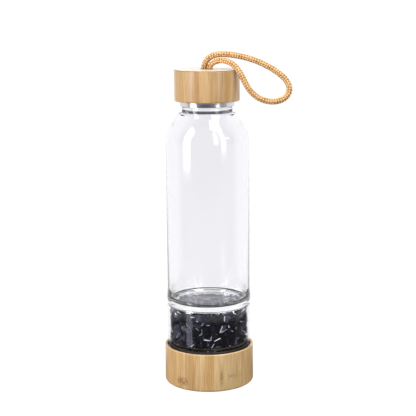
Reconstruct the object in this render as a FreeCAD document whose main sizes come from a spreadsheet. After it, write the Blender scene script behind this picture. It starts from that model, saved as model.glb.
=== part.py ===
import FreeCAD, Part
import Sketcher
import math
import os
import random

# A glass water bottle with a gemstone chamber, in millimetres. The origin is the centre of the
# underside, +Z is up the bottle's axis, and +X points to the side that the carry loop leans to.
# Bench order, top to bottom: carry cord and its knot, turned bamboo lid shell, steel lid liner,
# threaded lid insert, silicone mouth gasket, glass body with a water chamber above and an open
# gemstone chamber below, loose stone chips, seat gasket, threaded base liner, bamboo base cup.

Vector = FreeCAD.Vector

SIZES = {
    # base cup
    "axis": 0.0,
    "ground": 0.0,
    "base_radius": 35.2,
    "base_height": 30.2,
    "base_floor": 7.0,
    "base_bore": 33.2,
    "foot_round": 2.0,
    "rim_round": 0.6,
    # base liner and seat gasket
    "liner_floor": 2.0,
    "liner_bore": 29.6,
    "liner_top": 27.8,
    "liner_step": 24.4,
    "liner_sleeve": 32.0,
    "seat_inner": 28.3,
    "seat_outer": 31.0,
    # glass body, from the lower neck up
    "foot_level": 9.9,
    "foot_radius": 28.0,
    "foot_bore": 25.8,
    "seat_level": 31.0,
    "wall": 2.0,
    "chamber_wall": 1.4,
    "chamber_radius": 33.0,
    "chamber_top": 62.1,
    "waist_level": 63.8,
    "waist_radius": 32.2,
    "ceiling_level": 62.9,
    "floor_level": 66.1,
    "bowl_radius": 24.0,
    "bowl_level": 68.8,
    "swell_low": 67.1,
    "swell_high": 70.3,
    "swell_radius": 33.1,
    "body_low": 75.7,
    "body_radius": 32.5,
    "shoulder_level": 200.1,
    "shoulder_inset": 0.65,
    "cone_radius": 22.2,
    "cone_level": 214.8,
    "bead_radius": 19.7,
    "bead_low": 215.4,
    "bead_high": 219.6,
    "neck_radius": 17.4,
    "neck_low": 220.1,
    "neck_bore": 15.2,
    "bore_level": 217.5,
    "rim_level": 233.0,
    # rounds of the glass
    "shoulder_round": 22.0,
    "inner_shoulder_round": 20.0,
    "corner_round": 3.0,
    "inner_corner_round": 2.0,
    "ceiling_round": 1.6,
    "bowl_round": 4.0,
    "bowl_floor_round": 10.0,
    "swell_round": 6.0,
    "waist_round": 2.0,
    "ledge_round": 1.4,
    "lip_round": 0.9,
    # lid
    "lid_radius": 25.3,
    "lid_low": 224.2,
    "lid_top": 248.4,
    "lid_bore": 21.2,
    "lid_seat": 237.4,
    "lid_round": 0.9,
    "knot_room": 9.6,
    "knot_ceiling": 244.4,
    "cord_hole": 5.3,
    "steel_wall": 0.6,
    "steel_low": 220.4,
    "lip_low": 223.3,
    "lip_radius": 21.8,
    "insert_low": 221.2,
    "insert_bore": 19.0,
    "insert_roof": 235.2,
    "gasket_inner": 14.8,
    # threads, shared pitch
    "pitch": 4.0,
    "turns": 1.5,
    "ridge_root": 1.8,
    "ridge_inset": 0.5,
    "ridge_rise": 1.1,
    "ridge_bury": 0.2,
    "neck_thread": 222.4,
    "foot_thread": 13.5,
    # carry cord and knot
    "cord_radius": 2.4,
    "bend_share": 0.45,
    "knot_radius": 8.6,
    "knot_low": 237.6,
    "knot_top": 244.2,
    "knot_round": 2.6,
    # stone chips
    "chip_gap": 0.35,
    "chip_pitch": 6.3,
    "chip_shave": 0.22,
    "chip_gap_wide": 0.65,
    "chip_clear": 0.5,
    "chip_thin": 2.1,
    "chip_thick": 3.0,
    "chip_long": 4.1,
    "chip_blunt": 3.3,
    "chip_facets": 5,
    "heap_inset": 2.3,
    "heap_sides": 24,
    "heap_tries": 16000,
    "chamber_bevel": 1.2,
    "foot_bevel": 0.4,
}

# Places along the carry cord's route: up out of the lid's hole, over to +X, round the loop's
# end, back under, over the lid's edge and down into the same hole.
CORD_ROUTE = (
    (-2.1, 1.3, 244.2),
    (-2.1, 1.3, 248.6),
    (-1.5, 0.9, 253.4),
    (2.2, -0.4, 257.9),
    (9.9, -2.0, 260.2),
    (21.4, -4.0, 259.2),
    (33.0, -6.0, 256.6),
    (44.1, -8.0, 252.2),
    (53.9, -10.5, 246.4),
    (60.8, -12.6, 240.2),
    (63.2, -14.6, 233.6),
    (60.2, -16.6, 227.6),
    (53.4, -18.0, 224.6),
    (45.6, -18.8, 224.8),
    (38.2, -19.2, 227.8),
    (32.4, -18.8, 233.0),
    (28.6, -17.8, 239.4),
    (25.4, -16.0, 246.2),
    (21.0, -12.8, 252.0),
    (15.2, -8.8, 255.2),
    (8.6, -5.0, 255.4),
    (3.2, -3.1, 252.6),
    (1.8, -1.7, 248.4),
    (1.8, -1.6, 244.2),
)

doc = FreeCAD.newDocument("glass_water_bottle")
sheet = doc.addObject("Spreadsheet::Sheet", "sizes")
for row, (alias, number) in enumerate(SIZES.items(), start=1):
    sheet.set("A%d" % row, alias)
    sheet.set("B%d" % row, str(number))
    sheet.setAlias("B%d" % row, alias)
doc.recompute()


def size(text):
    """The number that a sum of aliases stands for, such as 'lid_bore - steel_wall'."""
    total = 0.0
    sign = 1.0
    for word in text.split():
        if word in "+-":
            sign = 1.0 if word == "+" else -1.0
        else:
            total += sign * float(sheet.get(word))
            sign = 1.0
    return total


def bound(text):
    """The same sum as an expression on the sheet's cells."""
    return " ".join(word if word in "+-" else "sizes." + word for word in text.split())


def new_body(label):
    body = doc.addObject("PartDesign::Body", label)
    body.Label = label
    return body


def profile(body, name, outline):
    """A closed sketch on the body's XZ plane: each corner is a pair of sums, radius and height."""
    sketch = body.newObject("Sketcher::SketchObject", name)
    plane = [p for p in body.Origin.OriginFeatures if p.Role == "XZ_Plane"][0]
    sketch.AttachmentSupport = [(plane, "")]
    sketch.MapMode = "FlatFace"
    corners = [Vector(size(radius), size(height), 0) for radius, height in outline]
    for i, corner in enumerate(corners):
        following = corners[(i + 1) % len(corners)]
        sketch.addGeometry(Part.LineSegment(corner, following), False)
    for i in range(len(corners)):
        following = (i + 1) % len(corners)
        sketch.addConstraint(Sketcher.Constraint("Coincident", i, 2, following, 1))
    for i, (radius, height) in enumerate(outline):
        for direction, text in (("DistanceX", radius), ("DistanceY", height)):
            place = size(text)
            row = sketch.addConstraint(Sketcher.Constraint(direction, -1, 1, i, 1, place))
            tag = "%s%d" % (direction[-1].lower(), i)
            sketch.renameConstraint(row, tag)
            sketch.setExpression("Constraints." + tag, bound(text))
    return sketch


def turned(body, outline):
    """A full revolution of the outline about the bottle's axis."""
    sketch = profile(body, body.Label + "_outline", outline)
    revolution = body.newObject("PartDesign::Revolution", body.Label + "_turned")
    revolution.Profile = sketch
    revolution.ReferenceAxis = (sketch, ["V_Axis"])
    revolution.Angle = 360
    sketch.Visibility = False
    doc.recompute()
    return revolution


def rounded(body, radius, places):
    """Rounds the circular edges found at the given pairs of radius and height."""
    base = body.Tip
    names = []
    for radius_text, height_text in places:
        for number, edge in enumerate(base.Shape.Edges, start=1):
            curve = edge.Curve
            if not isinstance(curve, Part.Circle):
                continue
            same_radius = abs(curve.Radius - size(radius_text)) < 0.02
            if same_radius and abs(curve.Center.z - size(height_text)) < 0.02:
                names.append("Edge%d" % number)
    if len(names) != len(places):
        raise ValueError("%s: %d of %d edges found" % (body.Label, len(names), len(places)))
    fillet = body.newObject("PartDesign::Fillet", "%s_%s" % (body.Label, radius))
    fillet.Base = (base, names)
    fillet.Radius = size(radius)
    fillet.setExpression("Radius", bound(radius))
    body.Tip = fillet
    doc.recompute()
    if "Invalid" in fillet.State or fillet.Shape.isNull():
        raise ValueError("%s: the round %s failed" % (body.Label, radius))
    return fillet


def ridge(body, name, wall, outward, start):
    """A helical thread ridge on a cylindrical wall, standing out of it or in from it."""
    buried = wall + (" - ridge_bury" if outward else " + ridge_bury")
    crest = wall + (" + ridge_rise" if outward else " - ridge_rise")
    sketch = profile(body, name + "_outline", (
        (buried, start),
        (crest, start + " + ridge_inset"),
        (crest, start + " + ridge_root - ridge_inset"),
        (buried, start + " + ridge_root"),
    ))
    helix = body.newObject("PartDesign::AdditiveHelix", name)
    helix.Profile = sketch
    helix.ReferenceAxis = (sketch, ["V_Axis"])
    helix.Mode = "pitch-turns-angle"
    helix.Pitch = size("pitch")
    helix.Turns = size("turns")
    helix.setExpression("Pitch", bound("pitch"))
    helix.setExpression("Turns", bound("turns"))
    sketch.Visibility = False
    body.Tip = helix
    doc.recompute()


# ---- base -------------------------------------------------------------------------------------
def make_base_shell():
    """The turned bamboo cup that the bottle stands on."""
    body = new_body("base_shell")
    turned(body, (
        ("axis", "ground"),
        ("base_radius", "ground"),
        ("base_radius", "base_height"),
        ("base_bore", "base_height"),
        ("base_bore", "base_floor"),
        ("axis", "base_floor"),
    ))
    rounded(body, "foot_round", [("base_radius", "ground")])
    rounded(body, "rim_round", [("base_radius", "base_height"), ("base_bore", "base_height")])
    return body


def make_base_liner():
    """The black insert glued in the cup: floor, threaded wall and a flange under the glass."""
    body = new_body("base_liner")
    turned(body, (
        ("axis", "base_floor"),
        ("liner_sleeve", "base_floor"),
        ("liner_sleeve", "liner_step"),
        ("base_bore", "liner_step"),
        ("base_bore", "liner_top"),
        ("liner_bore", "liner_top"),
        ("liner_bore", "base_floor + liner_floor"),
        ("axis", "base_floor + liner_floor"),
    ))
    ridge(body, "liner_thread", "liner_bore", False, "foot_thread + ridge_root")
    return body


def make_base_gasket():
    """The soft black ring between the liner's flange and the glass."""
    body = new_body("base_gasket")
    turned(body, (
        ("seat_inner", "liner_top"),
        ("seat_outer", "liner_top"),
        ("seat_outer", "seat_level"),
        ("seat_inner", "seat_level"),
    ))
    return body


# ---- glass ------------------------------------------------------------------------------------
def make_glass_body():
    """One blown body: threaded foot, stone chamber, closed floor, water chamber, threaded neck."""
    body = new_body("glass_body")
    outside = (
        ("foot_bore", "foot_level"),
        ("foot_radius", "foot_level"),
        ("foot_radius", "seat_level"),
        ("chamber_radius", "seat_level"),
        ("chamber_radius", "chamber_top"),
        ("waist_radius", "waist_level"),
        ("swell_radius", "swell_low"),
        ("swell_radius", "swell_high"),
        ("body_radius", "body_low"),
        ("body_radius", "shoulder_level"),
        ("cone_radius", "cone_level"),
        ("bead_radius", "bead_low"),
        ("bead_radius", "bead_high"),
        ("neck_radius", "neck_low"),
        ("neck_radius", "rim_level"),
    )
    inside = (
        ("neck_bore", "rim_level"),
        ("neck_bore", "bore_level"),
        ("body_radius - wall", "shoulder_level - shoulder_inset"),
        ("body_radius - wall", "bowl_level"),
        ("bowl_radius", "floor_level"),
        ("axis", "floor_level"),
        ("axis", "ceiling_level"),
        ("chamber_radius - chamber_wall", "ceiling_level"),
        ("chamber_radius - chamber_wall", "seat_level + wall"),
        ("foot_bore", "seat_level + wall"),
    )
    turned(body, outside + inside)
    rounded(body, "shoulder_round", [("body_radius", "shoulder_level")])
    rounded(body, "inner_shoulder_round",
            [("body_radius - wall", "shoulder_level - shoulder_inset")])
    rounded(body, "corner_round", [("chamber_radius", "seat_level")])
    rounded(body, "inner_corner_round", [
        ("chamber_radius - chamber_wall", "seat_level + wall"),
        ("neck_bore", "bore_level"),
    ])
    rounded(body, "ceiling_round", [("chamber_radius - chamber_wall", "ceiling_level")])
    rounded(body, "bowl_round", [("body_radius - wall", "bowl_level")])
    rounded(body, "bowl_floor_round", [("bowl_radius", "floor_level")])
    rounded(body, "swell_round", [("swell_radius", "swell_high"), ("body_radius", "body_low")])
    rounded(body, "waist_round", [
        ("chamber_radius", "chamber_top"),
        ("swell_radius", "swell_low"),
    ])
    rounded(body, "ledge_round", [("foot_bore", "seat_level + wall")])
    rounded(body, "lip_round", [
        ("neck_radius", "rim_level"),
        ("neck_bore", "rim_level"),
        ("foot_radius", "foot_level"),
        ("foot_bore", "foot_level"),
        ("bead_radius", "bead_high"),
    ])
    ridge(body, "neck_ridge", "neck_radius", True, "neck_thread")
    ridge(body, "foot_ridge", "foot_radius", True, "foot_thread")
    return body


# ---- lid --------------------------------------------------------------------------------------
def make_lid_shell():
    """The turned bamboo cap, hollow below, with the cord's hole through its top."""
    body = new_body("lid_shell")
    turned(body, (
        ("lid_bore", "lid_low"),
        ("lid_radius", "lid_low"),
        ("lid_radius", "lid_top"),
        ("cord_hole", "lid_top"),
        ("cord_hole", "knot_ceiling"),
        ("knot_room", "knot_ceiling"),
        ("knot_room", "lid_seat"),
        ("lid_bore", "lid_seat"),
    ))
    rounded(body, "lid_round", [("lid_radius", "lid_low"), ("lid_radius", "lid_top")])
    rounded(body, "rim_round", [("cord_hole", "lid_top")])
    return body


def make_lid_liner():
    """The drawn steel cup in the lid, with a small lip under the bamboo."""
    body = new_body("lid_liner")
    turned(body, (
        ("axis", "lid_seat"),
        ("lid_bore", "lid_seat"),
        ("lid_bore", "lid_low"),
        ("lip_radius", "lid_low"),
        ("lip_radius", "lip_low"),
        ("lid_bore", "lip_low"),
        ("lid_bore", "steel_low"),
        ("lid_bore - steel_wall", "steel_low"),
        ("lid_bore - steel_wall", "lid_seat - steel_wall"),
        ("axis", "lid_seat - steel_wall"),
    ))
    return body


def make_lid_insert():
    """The moulded screw cap inside the steel cup."""
    body = new_body("lid_insert")
    turned(body, (
        ("axis", "lid_seat - steel_wall"),
        ("lid_bore - steel_wall", "lid_seat - steel_wall"),
        ("lid_bore - steel_wall", "insert_low"),
        ("insert_bore", "insert_low"),
        ("insert_bore", "insert_roof"),
        ("axis", "insert_roof"),
    ))
    ridge(body, "insert_thread", "insert_bore", False, "neck_thread + ridge_root + ridge_bury")
    return body


def make_lid_gasket():
    """The silicone ring that the glass mouth presses on."""
    body = new_body("lid_gasket")
    turned(body, (
        ("gasket_inner", "rim_level"),
        ("neck_radius + ridge_rise", "rim_level"),
        ("neck_radius + ridge_rise", "insert_roof"),
        ("gasket_inner", "insert_roof"),
    ))
    return body


def make_cord_knot():
    """The stopper knot's outer shape, in the room under the lid's top."""
    body = new_body("cord_knot")
    turned(body, (
        ("axis", "knot_low"),
        ("knot_radius", "knot_low"),
        ("knot_radius", "knot_top"),
        ("axis", "knot_top"),
    ))
    rounded(body, "knot_round", [("knot_radius", "knot_low"), ("knot_radius", "knot_top")])
    return body


# ---- carry cord -------------------------------------------------------------------------------
def make_carry_cord():
    """A round tube along straight runs and tangent arcs, both ends on the knot's top."""
    points = [Vector(*place) for place in CORD_ROUTE]
    edges = []
    radii = []
    last = points[0]
    for before, corner, after in zip(points, points[1:], points[2:]):
        arriving = (corner - before).normalize()
        leaving = (after - corner).normalize()
        half_turn = arriving.getAngle(leaving) / 2
        reach = size("bend_share") * min(corner.distanceToPoint(before), corner.distanceToPoint(after))
        radius = reach / math.tan(half_turn)
        radii.append(radius)
        first = corner - arriving * reach
        end = corner + leaving * reach
        inward = (leaving - arriving).normalize()
        middle = corner + inward * (radius / math.cos(half_turn) - radius)
        edges.append(Part.LineSegment(last, first).toShape())
        edges.append(Part.Arc(first, middle, end).toShape())
        last = end
    edges.append(Part.LineSegment(last, points[-1]).toShape())
    path = Part.Wire(edges)
    length = sum(edge.Length for edge in edges)
    section = Part.Wire(Part.Circle(points[0], Vector(0, 0, 1), size("cord_radius")).toShape())
    tube = path.makePipeShell([section], True, False)
    node = doc.addObject("Part::Feature", "carry_cord")
    node.Shape = tube
    node.Placement = FreeCAD.Placement()
    expected = math.pi * size("cord_radius") ** 2 * length
    print("cord length %.1f mm, volume over section times length %.4f"
          % (length, tube.Volume / expected))
    print("cord arc radii " + " ".join("%.1f" % radius for radius in radii))
    return node


# ---- stone chips ------------------------------------------------------------------------------
def clipped(faces, normal, offset):
    """A convex solid, as loops of points, less what lies beyond normal . p = offset.

    A cut shallower than the chips' shave stays undone, so that no face comes out as a sliver.
    """
    if max(normal.dot(point) for loop in faces for point in loop) < offset + size("chip_shave"):
        return faces
    kept = []
    rim = []
    for loop in faces:
        inside = []
        for here, following in zip(loop, loop[1:] + loop[:1]):
            this_side = normal.dot(here) - offset
            next_side = normal.dot(following) - offset
            if this_side <= 0:
                inside.append(here)
            if (this_side < 0 < next_side) or (next_side < 0 < this_side):
                crossing = here + (following - here) * (this_side / (this_side - next_side))
                inside.append(crossing)
                rim.append(crossing)
        if len(inside) > 2:
            kept.append(inside)
    if not rim:
        return kept
    centre = Vector()
    for point in rim:
        centre += point / len(rim)
    across = (rim[0] - centre).normalize()
    up = normal.cross(across)
    ordered = sorted(rim, key=lambda p: math.atan2((p - centre).dot(up), (p - centre).dot(across)))
    cap = []
    for point in ordered:
        if not cap or point.distanceToPoint(cap[-1]) > 1e-6:
            cap.append(point)
    if cap[0].distanceToPoint(cap[-1]) < 1e-6:
        cap.pop()
    if len(cap) > 2:
        kept.append(cap)
    return kept


def cube(centre, half):
    """The six loops of a cube, each seen anticlockwise from outside."""
    def corner(x, y, z):
        return centre + Vector(x, y, z) * half
    return [
        [corner(-1, -1, -1), corner(-1, 1, -1), corner(1, 1, -1), corner(1, -1, -1)],
        [corner(-1, -1, 1), corner(1, -1, 1), corner(1, 1, 1), corner(-1, 1, 1)],
        [corner(-1, -1, -1), corner(1, -1, -1), corner(1, -1, 1), corner(-1, -1, 1)],
        [corner(-1, 1, -1), corner(-1, 1, 1), corner(1, 1, 1), corner(1, 1, -1)],
        [corner(-1, -1, -1), corner(-1, -1, 1), corner(-1, 1, 1), corner(-1, 1, -1)],
        [corner(1, -1, -1), corner(1, 1, -1), corner(1, 1, 1), corner(1, -1, 1)],
    ]


def random_direction(draw):
    """An even draw over the sphere."""
    height = draw.uniform(-1, 1)
    turn = draw.uniform(0, 2 * math.pi)
    flat = math.sqrt(1 - height * height)
    return Vector(flat * math.cos(turn), flat * math.sin(turn), height)


def scattered(draw, radius, low, high):
    """Chip centres thrown into a cylinder, no two nearer than the chips' pitch."""
    inset = size("heap_inset")
    centres = []
    for _ in range(int(size("heap_tries"))):
        reach = (radius - inset) * math.sqrt(draw.random())
        turn = draw.uniform(0, 2 * math.pi)
        height = draw.uniform(low + inset, high - inset)
        centre = Vector(reach * math.cos(turn), reach * math.sin(turn), height)
        if all(centre.distanceToPoint(other) > size("chip_pitch") for other in centres):
            centres.append(centre)
    return centres


def share_of(centre, centres, radius, low, high, corner, gap):
    """The loops of the space nearer to this centre than to any other, within the cylinder."""
    sides = int(size("heap_sides"))
    slant = math.sqrt(0.5)
    apothem = radius * math.cos(math.pi / sides)
    faces = cube(centre, 2 * size("chip_pitch"))
    faces = clipped(faces, Vector(0, 0, -1), -low)
    faces = clipped(faces, Vector(0, 0, 1), high)
    for side in range(sides):
        turn = 2 * math.pi * side / sides
        outward = Vector(math.cos(turn), math.sin(turn), 0)
        faces = clipped(faces, outward, apothem)
        for end, level in ((-1, low), (1, high)):
            tilted = outward * slant + Vector(0, 0, end * slant)
            reach = tilted.dot(outward * apothem + Vector(0, 0, level)) - corner
            faces = clipped(faces, tilted, reach)
    for other in centres:
        apart = other.distanceToPoint(centre)
        if 0 < apart < 3 * size("chip_pitch"):
            normal = (other - centre).normalize()
            middle = centre + normal * ((apart - gap) / 2)
            faces = clipped(faces, normal, normal.dot(middle))
    return faces


def broken(draw, centre, faces):
    """The same share with a chip's broken faces: two flat pairs and a few odd facets."""
    thickness_way = random_direction(draw)
    width_way = thickness_way.cross(random_direction(draw)).normalize()
    thickness = draw.uniform(size("chip_thin"), size("chip_thick"))
    width = draw.uniform(size("chip_thick"), size("chip_long"))
    for direction, half in ((thickness_way, thickness), (width_way, width)):
        for way in (direction, direction * -1):
            faces = clipped(faces, way, way.dot(centre) + half)
    for _ in range(int(size("chip_facets"))):
        way = random_direction(draw)
        reach = draw.uniform(size("chip_blunt"), size("chip_long"))
        faces = clipped(faces, way, way.dot(centre) + reach)
    return faces


def chips_in(draw, radius, low, high, corner):
    """Flat-faced stone chips filling a cylinder with bevelled ends, each a sound solid."""
    centres = scattered(draw, radius, low, high)
    chips = []
    for centre in centres:
        chip = None
        while chip is None or not chip.isValid():
            gap = draw.uniform(size("chip_gap"), size("chip_gap_wide"))
            share = share_of(centre, centres, radius, low, high, corner, gap)
            chip = solid_of(broken(draw, centre, share))
        chips.append(chip)
    return chips


def solid_of(faces):
    """One closed solid from loops of points."""
    sheets = [Part.Face(Part.makePolygon(loop + loop[:1])) for loop in faces]
    shell = Part.makeShell(sheets)
    shell.sewShape()
    solid = Part.makeSolid(shell)
    if solid.Volume < 0:
        solid.reverse()
    return solid


def make_gem_chips():
    """The loose chips: one heap in the visible chamber and one in the foot below it."""
    draw = random.Random(7)
    upper = chips_in(draw, size("chamber_radius - chamber_wall - chip_clear"),
                     size("seat_level + wall + chip_clear"),
                     size("ceiling_level - chip_clear"), size("chamber_bevel"))
    lower = chips_in(draw, size("foot_bore - chip_clear"),
                     size("base_floor + liner_floor + chip_clear"),
                     size("seat_level + wall - chip_clear"), size("foot_bevel"))
    node = doc.addObject("Part::Feature", "gem_chips")
    node.Shape = Part.Compound(upper + lower)
    node.Placement = FreeCAD.Placement()
    print("%d stone chips" % len(upper + lower))
    return node


# ---- build, test and write --------------------------------------------------------------------
pieces = [
    make_base_shell(),
    make_base_liner(),
    make_base_gasket(),
    make_glass_body(),
    make_gem_chips(),
    make_lid_gasket(),
    make_lid_insert(),
    make_lid_liner(),
    make_lid_shell(),
    make_cord_knot(),
    make_carry_cord(),
]
doc.recompute()

for item in doc.Objects:
    if "Invalid" in item.State or "Error" in item.State:
        raise RuntimeError("%s failed: %s" % (item.Label, item.State))
for piece in pieces:
    if piece.Shape.isNull() or not piece.Shape.isValid():
        raise RuntimeError("%s has no valid shape" % piece.Label)

os.makedirs("parts", exist_ok=True)
for piece in pieces:
    piece.Shape.exportStep("parts/%s.step" % piece.Label)
    print("%-12s solids %3d volume %10.1f mm3"
          % (piece.Label, len(piece.Shape.Solids), piece.Shape.Volume))
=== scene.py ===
import math
import random

import bmesh
import bpy
from mathutils import Matrix, Vector


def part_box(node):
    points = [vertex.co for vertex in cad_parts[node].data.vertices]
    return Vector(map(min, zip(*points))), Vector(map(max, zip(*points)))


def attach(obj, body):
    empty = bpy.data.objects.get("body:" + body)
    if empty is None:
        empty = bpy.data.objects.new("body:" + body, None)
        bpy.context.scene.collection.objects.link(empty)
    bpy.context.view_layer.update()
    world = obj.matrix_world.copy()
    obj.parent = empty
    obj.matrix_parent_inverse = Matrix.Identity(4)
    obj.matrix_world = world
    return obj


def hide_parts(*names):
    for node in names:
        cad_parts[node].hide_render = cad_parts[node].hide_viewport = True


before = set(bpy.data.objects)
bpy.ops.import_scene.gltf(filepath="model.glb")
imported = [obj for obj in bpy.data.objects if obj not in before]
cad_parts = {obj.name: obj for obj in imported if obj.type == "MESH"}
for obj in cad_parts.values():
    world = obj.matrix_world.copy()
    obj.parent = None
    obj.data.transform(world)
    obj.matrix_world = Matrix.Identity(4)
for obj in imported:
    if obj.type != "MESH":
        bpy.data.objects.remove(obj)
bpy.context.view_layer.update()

# A glass water bottle with a chamber of black stones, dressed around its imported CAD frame.
# The scene is in metres: +Z up the bottle, +X to the side that the carry loop leans to. The
# outlines of the turned pieces and the coordinates that materials use are in millimetres.

MM = 0.001
TURN = 2 * math.pi

# How bright the white stage and room are: GLOW as a lamp on the bottle, MIRRORED in reflections.
STAGE_GLOW = 0.35
ROOM_GLOW = 0.25
BACKDROP_MIRRORED = 1.0
FLOOR_MIRRORED = 0.50
DEEP_MIRRORED = 0.15
ROOM_MIRRORED = 0.05

# The panels of a softbox, from the inner one out: its share of the width, and of the power.
PANELS = ((0.62, 0.62), (0.76, 0.16), (0.88, 0.13), (1.0, 0.09))
PANEL_GAP = 0.002
PANEL_INSET = 0.05

# How near, in mm, an outline's point counts as on a threaded wall, and the points' spacing there.
ON_WALL = 0.02
WALL_STEP = 0.3

# The angles past which an edge is shaded sharp, on turned pieces and on stones.
TURNED_SHARP = math.radians(35)
STONE_SHARP = math.radians(55)


# ---- camera, light and stage --------------------------------------------------------------------
def show(name, data, place=None):
    """A new object in the scene from its data, at a place where one is given."""
    piece = bpy.data.objects.new(name, data)
    if place is not None:
        piece.matrix_world = place
    bpy.context.scene.collection.objects.link(piece)
    return piece


def aimed(place, facing):
    """The matrix of a lamp at a place that shines along a direction."""
    return Matrix.Translation(place) @ facing.to_track_quat("-Z", "Y").to_matrix().to_4x4()


def make_camera():
    """A portrait lens at table height, looking a little down on the bottle."""
    distance = 0.878
    height = 0.308
    downward = math.radians(10.85)
    roll = math.radians(-0.5)
    data = bpy.data.cameras.new("camera")
    data.lens = 98.4
    data.sensor_width = 36.0
    aim = Matrix.Rotation(math.radians(90) - downward, 4, "X") @ Matrix.Rotation(roll, 4, "Z")
    place = Matrix.Translation((0.0, -distance, height)) @ aim
    bpy.context.scene.camera = show("camera", data, place)


def softbox(name, azimuth, distance, low, high, width, power, tint=(1.0, 1.0, 1.0)):
    """An upright soft light that faces the bottle; azimuth 0 is the camera's side, + is right.

    It is four panels one behind another, with most of the power in the inner one, so its
    reflections fade at the edges.
    """
    lamps = []
    for i, (share, of_power) in enumerate(PANELS):
        inset = (high - low) * PANEL_INSET * (1 - share)
        lamps.append(panel(f"{name}_{i}", azimuth, distance + i * PANEL_GAP, low + inset,
                           high - inset, width * share, power * of_power, tint))
    return lamps


def panel(name, azimuth, distance, low, high, width, power, tint):
    """One upright lamp of a softbox, between two heights."""
    data = bpy.data.lights.new(name, "AREA")
    data.shape = "RECTANGLE"
    data.size = width
    data.size_y = high - low
    data.energy = power
    data.color = tint
    turn = math.radians(azimuth)
    place = Vector((math.sin(turn) * distance, -math.cos(turn) * distance, (low + high) / 2))
    facing = Vector((-math.sin(turn), math.cos(turn), 0.0))
    return show(name, data, aimed(place, facing))


def top_light(name, place, side, power):
    """A square soft light overhead that faces the lid."""
    lid = Vector((0.0, 0.0, 0.25))
    data = bpy.data.lights.new(name, "AREA")
    data.shape = "SQUARE"
    data.size = side
    data.energy = power
    show(name, data, aimed(place, lid - Vector(place)))


def make_stage():
    """A white floor that sweeps up into a white backdrop behind the bottle.

    It is white to the eye, straight or through glass, and dimmer as a light. In reflections the
    backdrop is bright, the floor dimmer and darkest far in front, and the floor near the bottle
    dark too, except behind it. Rays that have been through three faces of glass or more reflect
    a bright back and a dim floor.
    """
    half_width = 4.5
    front = -1.6
    back = 1.1
    sweep = 0.5
    top = 2.2
    drop = 0.0002
    steps = 12
    line = [(front, -drop), (back - sweep, -drop)]
    for i in range(1, steps + 1):
        turn = math.pi / 2 * i / steps
        line.append((back - sweep + sweep * math.sin(turn), sweep - sweep * math.cos(turn) - drop))
    line.append((back, top))
    mesh = bpy.data.meshes.new("stage")
    verts = [(x, y, z) for y, z in line for x in (-half_width, half_width)]
    faces = [(2 * i, 2 * i + 1, 2 * i + 3, 2 * i + 2) for i in range(len(line) - 1)]
    mesh.from_pydata(verts, [], faces)
    mesh.shade_smooth()
    stage = show("stage", mesh)
    nodes = Nodes("stage_white")
    x, y, _ = nodes.split(nodes.place())
    front_fade = (-1200.0, -700.0)
    back_rise = (-60.0, 60.0)
    near_edge = (225.0, 260.0)
    behind_edge = (0.45, 0.75)
    glass_faces = 2.5
    path = nodes.add("ShaderNodeLightPath")
    deep = nodes.math("GREATER_THAN", path.outputs["Transmission Depth"], glass_faces)
    away = nodes.hypotenuse(x, y)
    far = nodes.spread(y, *front_fade, ROOM_MIRRORED, FLOOR_MIRRORED)
    mirrored = nodes.spread(y, *back_rise, far, BACKDROP_MIRRORED)
    behind = nodes.spread(nodes.math("DIVIDE", y, away), *behind_edge)
    clear = nodes.math("MAXIMUM", behind, nodes.spread(away, *near_edge))
    mirrored = nodes.spread(clear, 0.0, 1.0, ROOM_MIRRORED, mirrored)
    inner = nodes.spread(y, *back_rise, DEEP_MIRRORED, BACKDROP_MIRRORED)
    mirrored = nodes.spread(deep, 0.0, 1.0, mirrored, inner)
    nodes.surface(base=(0.04, 0.04, 0.04, 1.0), roughness=1.0, specular=0.0,
                  emission=(1.0, 1.0, 1.0, 1.0),
                  emission_strength=studio_white(nodes, STAGE_GLOW, mirrored))
    mesh.materials.append(nodes.material)


def make_world():
    """A white room to the eye, dim as a light, and dark in reflections except at the back."""
    world = bpy.data.worlds.new("studio")
    bpy.context.scene.world = world
    nodes = Nodes("room", world)
    background = nodes.tree.nodes["Background"]
    background.inputs["Color"].default_value = (0.97, 0.98, 1.0, 1.0)
    direction = nodes.add("ShaderNodeTexCoord").outputs["Generated"]
    backward = nodes.split(direction)[1]
    mirrored = nodes.spread(backward, -0.2, 0.3, ROOM_MIRRORED, BACKDROP_MIRRORED)
    nodes.feed(background.inputs["Strength"], studio_white(nodes, ROOM_GLOW, mirrored))


def studio_white(nodes, glow, mirrored):
    """Strength 1 where seen straight or through glass, glow as a lamp, mirrored in reflections."""
    path = nodes.add("ShaderNodeLightPath")
    seen = nodes.math("MAXIMUM", path.outputs["Is Camera Ray"], path.outputs["Is Transmission Ray"])
    scattered = nodes.math("GREATER_THAN", path.outputs["Diffuse Depth"], 0.5)
    reflected = nodes.math("GREATER_THAN", path.outputs["Glossy Depth"], 0.5)
    direct = nodes.math("MULTIPLY", seen, nodes.math("SUBTRACT", 1.0, reflected))
    direct = nodes.math("MULTIPLY", direct, nodes.math("SUBTRACT", 1.0, scattered))
    only_reflected = nodes.math("MULTIPLY", reflected, nodes.math("SUBTRACT", 1.0, scattered))
    dim = nodes.spread(only_reflected, 0.0, 1.0, glow, mirrored)
    return nodes.spread(direct, 0.0, 1.0, dim, 1.0)


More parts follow.
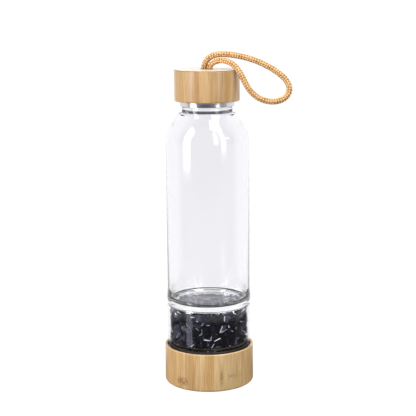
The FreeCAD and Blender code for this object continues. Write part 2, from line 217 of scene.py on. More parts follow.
# ---- material helpers ---------------------------------------------------------------------------
class Nodes:
    """A node tree, with short calls for the nodes that these materials and the world use."""

    def __init__(self, name, owner=None):
        self.material = owner or bpy.data.materials.new(name)
        self.material.use_nodes = True
        self.tree = self.material.node_tree
        self.shader = self.tree.nodes.get("Principled BSDF")
        self.output = self.tree.nodes.get("Material Output")

    def add(self, kind, **settings):
        node = self.tree.nodes.new(kind)
        for key, value in settings.items():
            setattr(node, key, value)
        return node

    def link(self, source, target):
        self.tree.links.new(source, target)

    def feed(self, socket, value):
        """Links a socket, or sets a plain value."""
        if isinstance(value, bpy.types.NodeSocket):
            self.link(value, socket)
        elif value is not None:
            socket.default_value = value

    def math(self, operation, a, b=None):
        node = self.add("ShaderNodeMath", operation=operation)
        for socket, value in zip(node.inputs, (a, b)):
            self.feed(socket, value)
        return node.outputs[0]

    def hypotenuse(self, a, b):
        """The length of a vector with these two parts."""
        squares = self.math("ADD", self.math("MULTIPLY", a, a), self.math("MULTIPLY", b, b))
        return self.math("SQRT", squares)

    def place(self):
        """Coordinates in the piece's own frame, in millimetres."""
        coords = self.add("ShaderNodeTexCoord")
        scale = self.add("ShaderNodeVectorMath", operation="SCALE")
        self.link(coords.outputs["Object"], scale.inputs[0])
        scale.inputs["Scale"].default_value = 1 / MM
        return scale.outputs[0]

    def split(self, vector):
        """The x, y and z of a vector."""
        node = self.add("ShaderNodeSeparateXYZ")
        self.link(vector, node.inputs[0])
        return tuple(node.outputs)

    def vector(self, x, y, z):
        node = self.add("ShaderNodeCombineXYZ")
        for socket, value in zip(node.inputs, (x, y, z)):
            self.feed(socket, value)
        return node.outputs[0]

    def stretched(self, x, y, z, across, upward):
        """A vector with x and y scaled by one factor and z by another."""
        return self.vector(self.math("MULTIPLY", x, across), self.math("MULTIPLY", y, across),
                           self.math("MULTIPLY", z, upward))

    def noise(self, vector, scale, detail, roughness=0.5, distortion=0.0):
        node = self.add("ShaderNodeTexNoise")
        self.link(vector, node.inputs["Vector"])
        node.inputs["Scale"].default_value = scale
        node.inputs["Detail"].default_value = detail
        node.inputs["Roughness"].default_value = roughness
        node.inputs["Distortion"].default_value = distortion
        return node.outputs["Fac"]

    def random(self, vector):
        node = self.add("ShaderNodeTexWhiteNoise", noise_dimensions="3D")
        self.link(vector, node.inputs["Vector"])
        return node.outputs["Value"]

    def spread(self, value, low, high, to_low=0.0, to_high=1.0):
        node = self.add("ShaderNodeMapRange")
        self.feed(node.inputs["Value"], value)
        for key, number in (("From Min", low), ("From Max", high),
                            ("To Min", to_low), ("To Max", to_high)):
            self.feed(node.inputs[key], number)
        return node.outputs[0]

    def ramp(self, value, stops):
        node = self.add("ShaderNodeValToRGB")
        self.feed(node.inputs["Fac"], value)
        elements = node.color_ramp.elements
        while len(elements) < len(stops):
            elements.new(0.5)
        for element, (position, colour) in zip(elements, stops):
            element.position = position
            element.color = (*colour, 1.0)
        return node.outputs["Color"]

    def mix(self, factor, a, b, blend="MIX"):
        node = self.add("ShaderNodeMix", data_type="RGBA", blend_type=blend)
        self.feed(node.inputs[0], factor)
        for socket, value in ((node.inputs[6], a), (node.inputs[7], b)):
            self.feed(socket, (*value, 1.0) if isinstance(value, tuple) and len(value) == 3 else value)
        return node.outputs[2]

    def bump(self, height, distance, strength):
        node = self.add("ShaderNodeBump")
        self.link(height, node.inputs["Height"])
        node.inputs["Distance"].default_value = distance
        node.inputs["Strength"].default_value = strength
        self.link(node.outputs["Normal"], self.shader.inputs["Normal"])

    def surface(self, base=None, roughness=None, metallic=None, specular=None, ior=None,
                transmission=None, coat=None, coat_roughness=None, sheen=None,
                emission=None, emission_strength=None):
        """Sets or links the shader's own sockets; the ones left out keep their values."""
        names = {
            "Base Color": base, "Roughness": roughness, "Metallic": metallic,
            "Specular IOR Level": specular, "IOR": ior, "Transmission Weight": transmission,
            "Coat Weight": coat, "Coat Roughness": coat_roughness, "Sheen Weight": sheen,
            "Emission Color": emission, "Emission Strength": emission_strength,
        }
        for name, value in names.items():
            self.feed(self.shader.inputs[name], value)


# ---- materials ----------------------------------------------------------------------------------
def bamboo_material(name, seed, strip, shade, top_reflection, edge_shade, eyes=()):
    """Laminated bamboo, fibres upright: wide strips, glue lines, fibres, streaks and node marks.

    Each eye is a node mark on the front: its x, height, half width and half height in mm. The
    shade tints it all. The top face is paled as a painted reflection of the white backdrop, and
    the round at its edge darkened as painted shade, each by an amount from 0 to 1.
    """
    layer = 23.0
    dark_fibre, pale_fibre = (0.70, 0.62, 0.50), (1.17, 1.16, 1.13)
    dark_streak, pale_streak = (0.50, 0.285, 0.105), (0.76, 0.60, 0.38)
    glue_line = (0.40, 0.21, 0.075)
    mark_brown = (0.24, 0.115, 0.035)
    painted_top_reflection = (0.90, 0.88, 0.85)
    painted_edge_shade = (0.12, 0.065, 0.025)

    n = Nodes(name)
    x, y, z = n.split(n.place())
    row = n.math("FLOOR", n.math("DIVIDE", n.math("ADD", y, layer * 0.3 + seed), layer))
    shift = n.math("MULTIPLY", n.random(n.vector(row, seed, 3.0)), strip)
    along = n.math("DIVIDE", n.math("ADD", n.math("ADD", x, shift), 100.0 * strip), strip)
    column = n.math("FLOOR", along)
    inside = n.math("FRACT", along)
    tone = n.random(n.vector(column, row, seed))
    second = n.random(n.vector(column, row, seed + 11.0))

    lean = n.math("MULTIPLY", z, n.spread(second, 0.0, 1.0, -0.02, 0.02))
    grain_x = n.math("ADD", n.math("ADD", x, lean), n.math("MULTIPLY", tone, 60.0))
    fibres = n.noise(n.stretched(grain_x, y, z, 1.9, 0.045), 1.0, 6.0, 0.7)
    bands = n.noise(n.stretched(grain_x, y, z, 0.22, 0.016), 1.0, 2.0, 0.5, 0.4)
    warm = n.ramp(tone, [(0.0, (0.50, 0.315, 0.140)), (0.35, (0.57, 0.375, 0.175)),
                         (0.7, (0.62, 0.425, 0.215)), (1.0, (0.68, 0.490, 0.275))])
    lit = n.mix(n.spread(fibres, 0.36, 0.66), dark_fibre, pale_fibre)
    colour = n.mix(1.0, warm, lit, "MULTIPLY")
    colour = n.mix(n.spread(bands, 0.50, 0.72, 0.0, 0.55), colour, dark_streak)
    colour = n.mix(n.spread(bands, 0.48, 0.30, 0.0, 0.45), colour, pale_streak)

    seam = n.math("MAXIMUM", n.spread(inside, 0.0, 0.045, 1.0, 0.0),
                  n.spread(inside, 0.985, 1.0, 0.0, 1.0))
    seam_strength = n.math("MULTIPLY", seam, n.spread(second, 0.2, 1.0, 0.1, 0.75))
    colour = n.mix(seam_strength, colour, glue_line)
    mark = node_marks(n, x, y, z, second, eyes)
    colour = n.mix(n.math("MULTIPLY", mark, 0.95), colour, mark_brown)
    colour = n.mix(1.0, colour, shade, "MULTIPLY")

    upward = n.split(n.add("ShaderNodeTexCoord").outputs["Normal"])[2]
    # Painted reflection: the top face is paled towards white, standing in for the white backdrop
    # mirrored in its polish.
    colour = n.mix(n.spread(upward, 0.90, 0.99, 0.0, top_reflection), colour, painted_top_reflection)
    # Painted shade: the round between the side and the top face is darkened, as the shading of that
    # edge.
    edge = n.math("MULTIPLY", n.spread(upward, 0.25, 0.5), n.spread(upward, 0.97, 0.85))
    colour = n.mix(n.math("MULTIPLY", edge, edge_shade), colour, painted_edge_shade)

    n.surface(base=colour, roughness=n.spread(fibres, 0.3, 0.8, 0.50, 0.36), specular=0.35,
              coat=0.5, coat_roughness=0.28)
    height = n.math("ADD", n.math("MULTIPLY", fibres, 0.6), n.math("MULTIPLY", seam, -0.7))
    n.bump(height, 0.00010, 0.4)
    return n.material


def node_marks(n, x, y, z, second, eyes):
    """How much of a node mark is at a point, 0 to 1: a low row in each strip, and the eyes.

    A strip's row lies at a height taken from its own random value, mostly off the piece.
    """
    half_row = 3.4
    specks = n.noise(n.stretched(x, y, z, 1.1, 0.45), 1.0, 4.0, 0.75)
    from_row = n.math("ABSOLUTE", n.math("SUBTRACT", z, n.spread(second, 0.0, 1.0, -40.0, 90.0)))
    mark = n.math("MULTIPLY", n.spread(from_row, 0.0, half_row, 1.0, 0.0),
                  n.spread(specks, 0.50, 0.60))
    front = n.math("LESS_THAN", y, 0.0)
    for eye_x, eye_z, half_wide, half_high in eyes:
        away = n.hypotenuse(n.math("DIVIDE", n.math("SUBTRACT", x, eye_x), half_wide),
                            n.math("DIVIDE", n.math("SUBTRACT", z, eye_z), half_high))
        blot = n.math("MULTIPLY", n.spread(away, 0.4, 1.0, 1.0, 0.0), n.spread(specks, 0.42, 0.54))
        mark = n.math("MAXIMUM", mark, n.math("MULTIPLY", blot, front))
    return mark


def glass_material():
    """Clear blown glass, which lamps shine through."""
    n = Nodes("clear_glass")
    n.surface(base=(0.951, 0.951, 0.972, 1.0), roughness=0.0, ior=1.47, transmission=1.0)
    path = n.add("ShaderNodeLightPath")
    through = n.add("ShaderNodeBsdfTransparent")
    through.inputs["Color"].default_value = (0.93, 0.94, 0.95, 1.0)
    mixed = n.add("ShaderNodeMixShader")
    n.link(path.outputs["Is Shadow Ray"], mixed.inputs[0])
    n.link(n.shader.outputs[0], mixed.inputs[1])
    n.link(through.outputs[0], mixed.inputs[2])
    n.link(mixed.outputs[0], n.output.inputs["Surface"])
    return n.material


def stone_material():
    """Polished black stone: blue-black clouds, greyer facets by their tone, and painted glints as pale
    slivers.
    """
    n = Nodes("black_stone")
    vector = n.place()
    clouds = n.noise(vector, 0.16, 4.0, 0.6, 0.8)
    fine = n.noise(vector, 1.3, 4.0, 0.6)
    tone = n.add("ShaderNodeAttribute", attribute_name="facet_tone_and_glint").outputs["Fac"]
    colour = n.ramp(clouds, [(0.35, (0.001, 0.001, 0.003)), (0.58, (0.003, 0.003, 0.008)),
                             (0.75, (0.013, 0.013, 0.030))])
    colour = n.mix(n.spread(tone, 0.12, 0.6, 0.0, 0.9), colour, (0.075, 0.075, 0.130))
    # Painted highlight: the palest tones make pale slivers, standing in for glints of the lamps on the
    # edges.
    colour = n.mix(n.spread(tone, 0.75, 0.80, 0.0, 1.0), colour,
                   n.ramp(tone, [(0.8, (0.45, 0.46, 0.54)), (1.0, (0.95, 0.96, 1.0))]))
    n.surface(base=colour, roughness=n.spread(fine, 0.35, 0.75, 0.03, 0.14), specular=0.12)
    n.bump(n.noise(vector, 0.5, 3.0, 0.5), 0.0003, 0.3)
    return n.material


def steel_material():
    """Polished steel with fine turning lines."""
    n = Nodes("polished_steel")
    x, y, z = n.split(n.place())
    lines = n.noise(n.stretched(x, y, z, 0.03, 9.0), 1.0, 3.0)
    n.surface(base=n.ramp(lines, [(0.3, (0.60, 0.61, 0.64)), (0.8, (0.70, 0.71, 0.74))]),
              metallic=1.0, roughness=n.spread(lines, 0.3, 0.7, 0.16, 0.24))
    return n.material


def plastic_material(name, dark, light, roughness):
    """Moulded plastic or rubber: a fine even mottle in colour, gloss and surface."""
    n = Nodes(name)
    vector = n.place()
    mottle = n.noise(vector, 0.7, 4.0, 0.6)
    grain = n.noise(vector, 6.0, 2.0)
    n.surface(base=n.ramp(mottle, [(0.3, dark), (0.75, light)]),
              roughness=n.spread(mottle, 0.3, 0.75, roughness + 0.06, roughness - 0.04))
    n.bump(grain, 0.00004, 0.4)
    return n.material


def cord_material():
    """Dyed yarn: tan and orange strands with pale and brown flecks, on a core painted near black as
    the shade in the gaps between strands.
    """
    n = Nodes("braided_cord")
    vector = n.place()
    tone = n.add("ShaderNodeAttribute", attribute_name="strand_tone_and_shade").outputs["Fac"]
    flecks = n.noise(vector, 1.1, 3.0, 0.6)
    hairs = n.noise(vector, 7.0, 3.0, 0.7)
    # The last stop, near black, is the core's painted shade between the strands.
    colour = n.ramp(tone, [(0.05, (0.16, 0.060, 0.018)), (0.35, (0.34, 0.155, 0.055)),
                           (0.62, (0.66, 0.390, 0.160)), (0.86, (0.90, 0.64, 0.33)),
                           (0.95, (0.07, 0.028, 0.008))])
    colour = n.mix(n.spread(flecks, 0.56, 0.70, 0.0, 0.3), colour, (0.80, 0.52, 0.30))
    colour = n.mix(n.spread(hairs, 0.50, 0.75, 0.0, 0.25), colour, (0.30, 0.13, 0.04))
    n.surface(base=colour, roughness=0.85, specular=0.12, sheen=0.1)
    n.bump(hairs, 0.00015, 0.6)
    return n.material


# ---- mesh helpers -------------------------------------------------------------------------------
def rounded_line(corners):
    """Points along a closed outline of (radius, height, round) corners, all in mm.

    Corners with a round become arcs, in steps of at most six degrees.
    """
    line = []
    count = len(corners)
    for i, (radius, height, bend) in enumerate(corners):
        here = Vector((radius, height))
        before = Vector(corners[i - 1][:2])
        after = Vector(corners[(i + 1) % count][:2])
        arriving = (here - before).normalized()
        leaving = (after - here).normalized()
        turn = arriving.angle(leaving)
        if bend <= 0 or turn < 1e-4:
            line.append(here)
            continue
        reach = bend * math.tan(turn / 2)
        start = here - arriving * reach
        side = 1 if arriving.x * leaving.y - arriving.y * leaving.x > 0 else -1
        centre = start + Vector((-arriving.y, arriving.x)) * (bend * side)
        steps = max(2, math.ceil(math.degrees(turn) / 6))
        for k in range(steps + 1):
            spin = side * turn * k / steps
            arm = start - centre
            line.append(centre + Vector((arm.x * math.cos(spin) - arm.y * math.sin(spin),
                                         arm.x * math.sin(spin) + arm.y * math.cos(spin))))
    return line


def subdivided(line, wall_radius):
    """The line with more points on the straight wall at a radius, for its thread."""
    more = []
    for here, after in zip(line, line[1:] + line[:1]):
        more.append(here)
        upright = abs(here.x - wall_radius) < ON_WALL and abs(after.x - wall_radius) < ON_WALL
        length = abs(after.y - here.y)
        if upright and length > WALL_STEP:
            count = math.ceil(length / WALL_STEP)
            more += [here.lerp(after, k / count) for k in range(1, count)]
    return more


def lathe(name, line, segments, shift=None):
    """A closed turned mesh from outline points in mm; shift(point, angle) may move a radius."""
    verts = []
    rings = []
    for point in line:
        if point.x < 1e-6:
            rings.append([len(verts)])
            verts.append((0.0, 0.0, point.y * MM))
            continue
        ring = []
        for k in range(segments):
            angle = TURN * k / segments
            radius = point.x + (shift(point, angle) if shift else 0.0)
            ring.append(len(verts))
            verts.append((radius * math.cos(angle) * MM, radius * math.sin(angle) * MM,
                          point.y * MM))
        rings.append(ring)
    faces = []
    for lower, upper in zip(rings, rings[1:] + rings[:1]):
        if len(lower) == 1 and len(upper) == 1:
            continue
        for k in range(segments):
            after = (k + 1) % segments
            if len(lower) == 1:
                faces.append((lower[0], upper[after], upper[k]))
            elif len(upper) == 1:
                faces.append((lower[k], lower[after], upper[0]))
            else:
                faces.append((lower[k], lower[after], upper[after], upper[k]))
    mesh = bpy.data.meshes.new(name)
    mesh.from_pydata(verts, [], faces)
    mesh.validate()
    tidy = bmesh.new()
    tidy.from_mesh(mesh)
    bmesh.ops.recalc_face_normals(tidy, faces=tidy.faces)
    tidy.to_mesh(mesh)
    tidy.free()
    mesh.shade_smooth()
    mesh.set_sharp_from_angle(angle=TURNED_SHARP)
    return show(name, mesh)


def thread(radius, start, outward):
    """A shift that raises one helical ridge, as in the CAD thread, on the wall at a radius."""
    pitch, turns, root, crest, rise = 4.0, 1.5, 1.8, 0.8, 1.1
    fade = 0.12

    def shift(point, angle):
        if abs(point.x - radius) > ON_WALL:
            return 0.0
        best = 0.0
        for lap in range(-1, 3):
            along = angle / TURN + lap
            if not 0.0 <= along <= turns:
                continue
            low = start + pitch * along
            away = abs(point.y - (low + root / 2))
            flank = (root / 2 - away) / ((root - crest) / 2)
            ends = min(1.0, along / fade, (turns - along) / fade)
            best = max(best, min(1.0, max(0.0, flank)) * ends)
        return best * rise * (1 if outward else -1)
    return shift


def finish_piece(piece, body, node, material):
    """The piece takes a material, rides on its body and stands for a CAD node."""
    piece.data.materials.clear()
    piece.data.materials.append(material)
    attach(piece, body)
    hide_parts(node)


# ---- glass --------------------------------------------------------------------------------------
def make_glass(material):
    """The blown bottle: threaded foot, stone chamber, floor, waist, water chamber and neck."""
    low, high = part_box("glass_body")
    foot = low.z / MM
    rim = high.z / MM
    wall = 2.0
    body, chamber, chamber_bore = 32.5, 33.0, 31.6
    waist_radius, swell, bowl = 32.2, 33.1, 24.0
    foot_radius, foot_bore = 28.0, 25.8
    neck, bead, cone, bore = 17.4, 19.7, 22.2, 15.2
    seat = foot + 21.1
    waist = seat + 32.8
    shoulder = rim - 32.9
    corners = [
        (foot_bore, foot, 0.9), (foot_radius, foot, 0.9), (foot_radius, seat, 0.3),
        (chamber, seat, 3.0), (chamber, waist - 1.7, 2.0), (waist_radius, waist, 1.0),
        (swell, waist + 3.3, 2.0), (swell, waist + 6.5, 6.0), (body, waist + 11.9, 6.0),
        (body, shoulder, 22.0), (cone, rim - 18.2, 0.5), (bead, rim - 17.6, 0.3),
        (bead, rim - 13.4, 0.9), (neck, rim - 12.9, 0.2), (neck, rim, 0.9),
        (bore, rim, 0.9), (bore, rim - 15.5, 3.0),
        (body - wall, shoulder - 0.65, 20.0), (body - wall, waist + 5.0, 4.0),
        (bowl, waist + 2.3, 10.0), (0.0, waist + 2.3, 0.0), (0.0, waist - 0.9, 0.0),
        (chamber_bore, waist - 0.9, 1.6), (chamber_bore, seat + wall, 2.0),
        (foot_bore, seat + wall, 1.4),
    ]
    line = subdivided(subdivided(rounded_line(corners), foot_radius), neck)
    neck_thread = thread(neck, rim - 10.6, True)
    foot_thread = thread(foot_radius, foot + 3.6, True)
    piece = lathe("bottle_glass", line, 224,
                  lambda point, angle: neck_thread(point, angle) + foot_thread(point, angle))
    finish_piece(piece, "bottle", "glass_body", material)


# ---- lid and base turnings ------------------------------------------------------------------------
def make_lid_shell(material):
    """The bamboo cap: open below for the steel cup, with the cord's hole over the knot's room."""
    low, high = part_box("lid_shell")
    radius = high.x / MM
    base = low.z / MM
    top = high.z / MM
    bore, room, hole = 21.2, 9.6, 5.3
    bore_top, room_top = base + 13.2, top - 4.0
    corners = [
        (bore, base, 0.25), (radius, base, 0.9), (radius, top, 0.9), (hole, top, 0.6),
        (hole, room_top, 0.2), (room, room_top, 0.2), (room, bore_top, 0.2), (bore, bore_top, 0.2),
    ]
    piece = lathe("lid_bamboo", rounded_line(corners), 256)
    finish_piece(piece, "lid", "lid_shell", material)


def make_base_shell(material):
    """The bamboo cup, open above for the liner."""
    _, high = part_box("base_shell")
    radius = high.x / MM
    top = high.z / MM
    bore, floor = 33.2, 7.0
    corners = [
        (0.0, 0.0, 0.0), (radius, 0.0, 2.0), (radius, top, 0.6), (bore, top, 0.6),
        (bore, floor, 0.3), (0.0, floor, 0.0),
    ]
    piece = lathe("base_bamboo", rounded_line(corners), 256)
    finish_piece(piece, "base", "base_shell", material)


def make_lid_liner(material):
    """The drawn steel cup, with its rolled lip and rim."""
    low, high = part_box("lid_liner")
    top = high.z / MM
    rim = low.z / MM
    outer, sheet, lip = 21.2, 0.6, 21.8
    lip_low, lip_high = rim + 2.9, rim + 3.8
    corners = [
        (0.0, top, 0.0), (outer, top, 0.5), (outer, lip_high, 0.1), (lip, lip_high, 0.4),
        (lip, lip_low, 0.4), (outer, lip_low, 0.15), (outer, rim, 0.28), (outer - sheet, rim, 0.28),
        (outer - sheet, top - sheet, 0.4), (0.0, top - sheet, 0.0),
    ]
    piece = lathe("lid_steel", rounded_line(corners), 256)
    finish_piece(piece, "lid", "lid_liner", material)


def make_lid_insert(material):
    """The moulded screw cap, with its thread ridge."""
    low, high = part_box("lid_insert")
    top = high.z / MM
    base = low.z / MM
    outer, bore = 20.6, 19.0
    roof = top - 1.6
    corners = [
        (0.0, top, 0.0), (outer, top, 0.3), (outer, base, 0.3), (bore, base, 0.3), (bore, roof, 0.2),
        (0.0, roof, 0.0),
    ]
    line = subdivided(rounded_line(corners), bore)
    piece = lathe("lid_screw_cap", line, 192, thread(bore, base + 3.2, False))
    finish_piece(piece, "lid", "lid_insert", material)


def make_lid_gasket(material):
    """The pale ring that the mouth presses on."""
    low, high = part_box("lid_gasket")
    base, top = low.z / MM, high.z / MM
    inner, outer = 14.8, high.x / MM
    corners = [(inner, base, 0.4), (outer, base, 0.4), (outer, top, 0.4), (inner, top, 0.4)]
    piece = lathe("mouth_gasket", rounded_line(corners), 192)
    finish_piece(piece, "lid_seal", "lid_gasket", material)


def make_base_liner(material):
    """The black threaded insert in the cup."""
    low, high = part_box("base_liner")
    base, top = low.z / MM, high.z / MM
    bore, sleeve, flange = 29.6, 32.0, 33.2
    floor, flange_low = base + 2.0, top - 3.4
    corners = [
        (0.0, base, 0.0), (sleeve, base, 0.3), (sleeve, flange_low, 0.1), (flange, flange_low, 0.2),
        (flange, top, 0.25), (bore, top, 0.5), (bore, floor, 0.4), (0.0, floor, 0.0),
    ]
    line = subdivided(rounded_line(corners), bore)
    piece = lathe("base_screw_liner", line, 224, thread(bore, base + 8.3, False))
    finish_piece(piece, "base", "base_liner", material)


def make_base_gasket(material):
    """The black ring between the liner's flange and the glass."""
    low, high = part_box("base_gasket")
    base, top = low.z / MM, high.z / MM
    inner, outer = 28.3, high.x / MM
    corners = [(inner, base, 0.3), (outer, base, 0.3), (outer, top, 0.5), (inner, top, 0.3)]
    piece = lathe("seat_gasket", rounded_line(corners), 224)
    finish_piece(piece, "base_seal", "base_gasket", material)


# ---- stones ---------------------------------------------------------------------------------------
def make_stones(material):
    """The CAD's chips, with a tone for each facet, and painted glints as pale slivers along some
    longer edges.
    """
    same_place = 1e-6
    flat = math.radians(1.5)
    long_edge, glint_share, glint_width = 0.002, 0.14, 0.00038
    facet_power, facet_top = 3.2, 0.6
    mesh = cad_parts["gem_chips"].data.copy()
    mesh.name = "stone_chips"
    draw = random.Random(21)
    work = bmesh.new()
    work.from_mesh(mesh)
    bmesh.ops.remove_doubles(work, verts=work.verts, dist=same_place)
    bmesh.ops.dissolve_limit(work, angle_limit=flat, verts=work.verts, edges=work.edges)
    tone = work.faces.layers.float.new("facet_tone_and_glint")
    for face in work.faces:
        face[tone] = draw.random() ** facet_power * facet_top
    chosen = [edge for edge in work.edges
              if edge.calc_length() > long_edge and draw.random() < glint_share]
    cut = bmesh.ops.bevel(work, geom=chosen, offset=glint_width, offset_type="OFFSET",
                          segments=1, profile=0.5, affect="EDGES", clamp_overlap=False)
    # Painted highlight: the slivers' faces take the palest tones, for glints along the edges.
    for face in cut["faces"]:
        face[tone] = draw.uniform(0.8, 1.0)
    work.to_mesh(mesh)
    work.free()
    mesh.materials.clear()
    mesh.shade_smooth()
    mesh.set_sharp_from_angle(angle=STONE_SHARP)
    piece = show("stone_chips", mesh)
    finish_piece(piece, "bottle", "gem_chips", material)


# ---- carry cord -----------------------------------------------------------------------------------
CORD_DIAMETER = 0.0048
# The core's tone picks the near-black stop of the cord's ramp: painted shade seen in the gaps between
# strands.
CORE_SHADE = 0.95
CORD_ROUTE = (
    (-0.0021, 0.0013, 0.2442),
    (-0.0021, 0.0013, 0.2486),
    (-0.0015, 0.0009, 0.2534),
    (0.0022, -0.0004, 0.2579),
    (0.0099, -0.0020, 0.2602),
    (0.0214, -0.0040, 0.2592),
    (0.0330, -0.0060, 0.2566),
    (0.0441, -0.0080, 0.2522),
    (0.0539, -0.0105, 0.2464),
    (0.0608, -0.0126, 0.2402),
    (0.0632, -0.0146, 0.2336),
    (0.0602, -0.0166, 0.2276),
    (0.0534, -0.0180, 0.2246),
    (0.0456, -0.0188, 0.2248),
    (0.0382, -0.0192, 0.2278),
    (0.0324, -0.0188, 0.2330),
    (0.0286, -0.0178, 0.2394),
    (0.0254, -0.0160, 0.2462),
    (0.0210, -0.0128, 0.2520),
    (0.0152, -0.0088, 0.2552),
    (0.0086, -0.0050, 0.2554),
    (0.0032, -0.0031, 0.2526),
    (0.0018, -0.0017, 0.2484),
    (0.0018, -0.0016, 0.2442),
)


def smooth_route(name, places, fineness=24):
    """Points along a NURBS spline with the given places as its control points."""
    curve = bpy.data.curves.new(name, "CURVE")
    curve.dimensions = "3D"
    curve.resolution_u = fineness
    spline = curve.splines.new("NURBS")
    spline.points.add(len(places) - 1)
    for point, place in zip(spline.points, places):
        point.co = (*place, 1.0)
    spline.order_u = 3
    spline.use_endpoint_u = True
    holder = show(name, curve)
    mesh = bpy.data.meshes.new_from_object(holder)
    points = [vertex.co.copy() for vertex in mesh.vertices]
    bpy.data.meshes.remove(mesh)
    bpy.data.objects.remove(holder)
    bpy.data.curves.remove(curve)
    return points


def even_points(points, step):
    """The same line with evenly spaced points about a step apart, and its length."""
    lengths = [0.0]
    for here, after in zip(points, points[1:]):
        lengths.append(lengths[-1] + (after - here).length)
    count = round(lengths[-1] / step)
    result = []
    span = 0
    for k in range(count + 1):
        goal = lengths[-1] * k / count
        while span < len(points) - 2 and lengths[span + 1] < goal:
            span += 1
        share = (goal - lengths[span]) / (lengths[span + 1] - lengths[span])
        result.append(points[span].lerp(points[span + 1], share))
    return result, lengths[-1]


def frames_along(points):
    """A twist-free pair of cross directions at each point of a line."""
    tangents = []
    for i in range(len(points)):
        tangents.append((points[min(i + 1, len(points) - 1)] - points[max(i - 1, 0)]).normalized())
    across = tangents[0].orthogonal().normalized()
    frames = []
    for i, tangent in enumerate(tangents):
        across = (across - tangent * across.dot(tangent)).normalized()
        frames.append((across.copy(), tangent.cross(across)))
    return frames


def tube(verts, faces, line, frames, wide, thick, sides):
    """Adds a capped tube along a line, wide along each frame's first direction."""
    start = len(verts)
    for point, (across, up) in zip(line, frames):
        for k in range(sides):
            angle = TURN * k / sides
            verts.append(point + across * (wide * math.cos(angle)) + up * (thick * math.sin(angle)))
    for i in range(len(line) - 1):
        for k in range(sides):
            after = (k + 1) % sides
            a = start + i * sides
            b = a + sides
            faces.append((a + k, a + after, b + after, b + k))
    faces.append(tuple(start + k for k in reversed(range(sides))))
    last = start + (len(line) - 1) * sides
    faces.append(tuple(last + k for k in range(sides)))


def braid(name, line, strands_each_way, laps, seed):
    """A round braid along a line: flat strands each way, passing over and under, on a core.

    Each point's strand tone is the strand's own tone, with painted light where it passes over and
    painted shade where it dips under; the core's tone is painted shade.
    """
    wide, thick, weave = 0.00066, 0.00046, 0.00040
    core_gap = 0.0001
    core_sides, strand_sides = 14, 8
    middle_tone, over_under_shade, way_tone, own_tone = 0.46, 0.12, 0.15, 0.08
    frames = frames_along(line)
    mean_radius = CORD_DIAMETER / 2 - thick - weave
    draw = random.Random(seed)
    verts, faces, tones = [], [], []

    def add(path, path_frames, across, up, sides, path_tones):
        tube(verts, faces, path, path_frames, across, up, sides)
        for tone in path_tones:
            tones.extend([tone] * sides)

    # The core is painted near black, standing for the shade in the gaps between strands.
    core = mean_radius - core_gap
    add(line, frames, core, core, core_sides, [CORE_SHADE] * len(line))
    for way in (1, -1):
        for strand in range(strands_each_way):
            path, radials, path_tones = [], [], []
            own = draw.uniform(-own_tone, own_tone) + way_tone * way
            for i, (point, (across, up)) in enumerate(zip(line, frames)):
                share = i / (len(line) - 1)
                angle = way * TURN * laps * share + TURN * strand / strands_each_way
                over = way * math.cos(TURN * strands_each_way * laps * share)
                radial = across * math.cos(angle) + up * math.sin(angle)
                radials.append(radial)
                path.append(point + radial * (mean_radius + weave * over))
                # Painted light and shade: the tone rises where the strand passes over and falls where
                # it dips under.
                path_tones.append(middle_tone + own + over_under_shade * over)
            sideways = []
            for i, radial in enumerate(radials):
                along = (path[min(i + 1, len(path) - 1)] - path[max(i - 1, 0)]).normalized()
                across = along.cross(radial).normalized()
                sideways.append((across, across.cross(along)))
            add(path, sideways, wide, thick, strand_sides, path_tones)
    mesh = bpy.data.meshes.new(name)
    mesh.from_pydata([tuple(v) for v in verts], [], faces)
    mesh.shade_smooth()
    attribute = mesh.attributes.new("strand_tone_and_shade", "FLOAT", "POINT")
    attribute.data.foreach_set("value", tones)
    return show(name, mesh)


def make_cord(material):
    """The loop, whose two ends go through the lid's hole to the knot."""
    point_step = 0.0003
    lap = 0.0118
    line, length = even_points(smooth_route("cord_route", CORD_ROUTE), point_step)
    piece = braid("carry_cord_braid", line, 6, round(length / lap), 5)
    finish_piece(piece, "lid", "carry_cord", material)


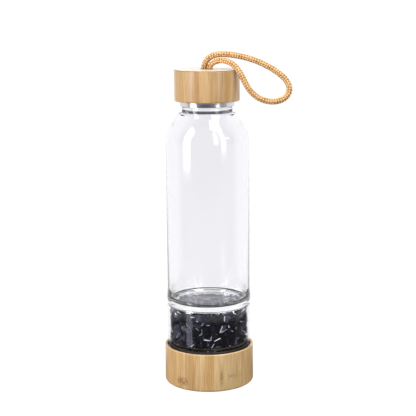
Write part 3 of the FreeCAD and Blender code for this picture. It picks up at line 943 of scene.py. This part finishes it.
def make_knot(material):
    """The two ends tied together under the lid's top: a flat trefoil of the same cord."""
    low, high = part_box("cord_knot")
    middle = (low + high) / 2
    reach = (high.x - middle.x - CORD_DIAMETER / 2) / 3
    lift = high.z - middle.z - CORD_DIAMETER / 2
    steps = 360
    line = []
    for i in range(steps + 1):
        turn = TURN * i / steps
        line.append(middle + Vector((reach * (math.sin(turn) + 2 * math.sin(2 * turn)),
                                     reach * (math.cos(turn) - 2 * math.cos(2 * turn)),
                                     lift * -math.sin(3 * turn))))
    piece = braid("stopper_knot", line, 6, 6, 9)
    finish_piece(piece, "lid", "cord_knot", material)


# ---- build ----------------------------------------------------------------------------------------
make_camera()
make_world()
make_stage()
softbox("left_softbox", -59, 1.0, 0.04, 1.5, 0.48, 15.5)
softbox("right_softbox", 45, 1.0, 0.07, 1.5, 0.32, 4.6)
softbox("right_upper_softbox", 24, 1.1, 0.21, 1.5, 0.36, 3.4)
top_light("top_softbox", (0.42, -0.30, 1.45), 0.5, 15.0)
for lamp in softbox("low_card", -50, 0.12, 0.0, 0.06, 0.052, 0.009, (0.80, 0.81, 1.0)):
    lamp.visible_camera = False
bpy.context.scene.view_settings.view_transform = "Standard"

# The last two numbers of each bamboo are its painted top reflection and its painted edge shade.
bamboo_lid = bamboo_material("bamboo_lid", 3.0, 8.5, (0.86, 0.80, 0.72), 0.5, 0.9)
bamboo_base = bamboo_material("bamboo_base", 8.0, 11.0, (1.0, 0.98, 0.91), 0.05, 0.0,
                              eyes=((9.5, 11.0, 1.5, 8.0), (-21.0, 7.0, 5.5, 4.5)))
cord_yarn = cord_material()
make_glass(glass_material())
make_lid_shell(bamboo_lid)
make_base_shell(bamboo_base)
make_stones(stone_material())
make_lid_liner(steel_material())
make_lid_insert(plastic_material("white_plastic", (0.74, 0.75, 0.78), (0.84, 0.85, 0.87), 0.42))
make_lid_gasket(plastic_material("pale_silicone", (0.70, 0.71, 0.74), (0.80, 0.81, 0.83), 0.38))
make_base_liner(plastic_material("black_plastic", (0.010, 0.010, 0.011), (0.018, 0.018, 0.020),
                                 0.36))
make_base_gasket(plastic_material("black_rubber", (0.009, 0.009, 0.010), (0.015, 0.015, 0.017),
                                  0.55))
make_knot(cord_yarn)
make_cord(cord_yarn)
